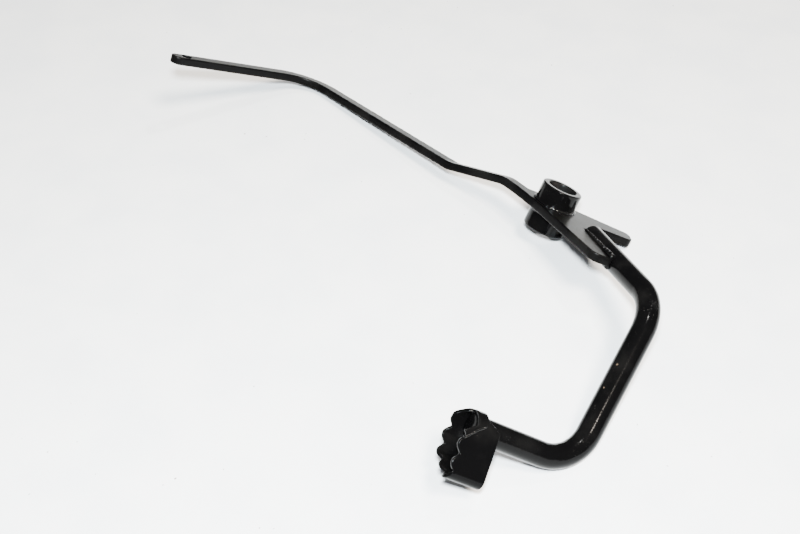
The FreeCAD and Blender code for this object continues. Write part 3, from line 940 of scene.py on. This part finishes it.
# %% Floor
def make_floor(height):
    """A wide pale sheet with a faint mottle and a few specks."""
    work = bmesh.new()
    bmesh.ops.create_grid(work, x_segments=8, y_segments=8, size=2.5)
    mesh = bpy.data.meshes.new("pale_sheet")
    work.to_mesh(mesh)
    work.free()
    floor = add_piece("pale_sheet", mesh, smooth=False)
    floor.location.z = height
    material = bpy.data.materials.new("pale_sheet")
    material.use_nodes = True
    tree = material.node_tree
    shader = tree.nodes["Principled BSDF"]
    mottle = ramp_node(tree, noise_node(tree, 22.0, 5.0), 0.35, 0.7)
    colour = mix_colour(tree, (0.83, 0.83, 0.825, 1), (0.765, 0.775, 0.785, 1), mottle)
    grains = ramp_node(tree, noise_node(tree, 330.0, 1.0), 0.765, 0.80)
    rare = ramp_node(tree, noise_node(tree, 14.0, 2.0), 0.5, 0.62)
    specks = math_node(tree, "MULTIPLY", grains, rare)
    colour = mix_colour(tree, colour, (0.22, 0.2, 0.18, 1), specks)
    tree.links.new(colour, shader.inputs["Base Color"])
    shader.inputs["Roughness"].default_value = 0.55
    bump = tree.nodes.new("ShaderNodeBump")
    bump.inputs["Strength"].default_value = 0.12
    bump.inputs["Distance"].default_value = 0.0004
    tree.links.new(noise_node(tree, 260.0, 4.0), bump.inputs["Height"])
    tree.links.new(bump.outputs["Normal"], shader.inputs["Normal"])
    mesh.materials.append(material)
    return floor


floor = make_floor(cad_low.z)
print("floor at", round(cad_low.z, 4))

# %% Lamps and sky
# The camera's place is set here because the front lamp hangs from it.
CAMERA_PLACE = Vector((-0.0936, -0.5712, 0.4660))
CAMERA_TILT = math.radians(48)
CAMERA_LENS = 54
SENSOR_WIDTH = 36
SKY_STRENGTH = 0.2


def add_lamp(name, place, aim, size, power, colour):
    """A square lamp aimed at a point."""
    data = bpy.data.lights.new(name, "AREA")
    data.size = size
    data.energy = power
    data.color = colour
    lamp = bpy.data.objects.new(name, data)
    lamp.location = place
    lamp.rotation_euler = (Vector(aim) - Vector(place)).to_track_quat("-Z", "Y").to_euler()
    bpy.context.scene.collection.objects.link(lamp)
    return lamp


add_lamp("front_lamp", CAMERA_PLACE + Vector((0.0, 0.02, 0.095)), (-0.08, 0, 0), 0.06, 36.0,
         (0.86, 0.95, 1.0))
add_lamp("ceiling_lamp", (0.41, -0.9, 1.6), (-0.08, 0, 0), 0.4, 112.0, (1.0, 0.91, 0.8))
add_lamp("room_lamp", (0.4, 0.12, 1.5), (0, -0.1, 0), 0.12, 12.0, (1.0, 0.98, 0.95))
add_lamp("glint_lamp", (0.05, -0.75, 0.05), (0, 0, 0), 0.03, 0.06, (0.95, 0.97, 1.0))
sky = bpy.data.worlds.new("even_sky")
sky.use_nodes = True
sky.node_tree.nodes["Background"].inputs["Color"].default_value = (0.93, 0.96, 1.0, 1)
sky.node_tree.nodes["Background"].inputs["Strength"].default_value = SKY_STRENGTH
bpy.context.scene.world = sky
print("lamps: a small one in front, a broad one overhead and two weak ones for glints")

# %% Camera
camera_data = bpy.data.cameras.new("camera")
camera_data.lens = CAMERA_LENS
camera_data.sensor_width = SENSOR_WIDTH
camera = bpy.data.objects.new("camera", camera_data)
camera.location = CAMERA_PLACE
camera.rotation_euler = (CAMERA_TILT, 0, 0)
bpy.context.scene.collection.objects.link(camera)
bpy.context.scene.camera = camera
print("camera at", tuple(round(v, 4) for v in CAMERA_PLACE))

# %% Sizes, and the end
print("CAD box:", [round(v, 4) for v in cad_high - cad_low])
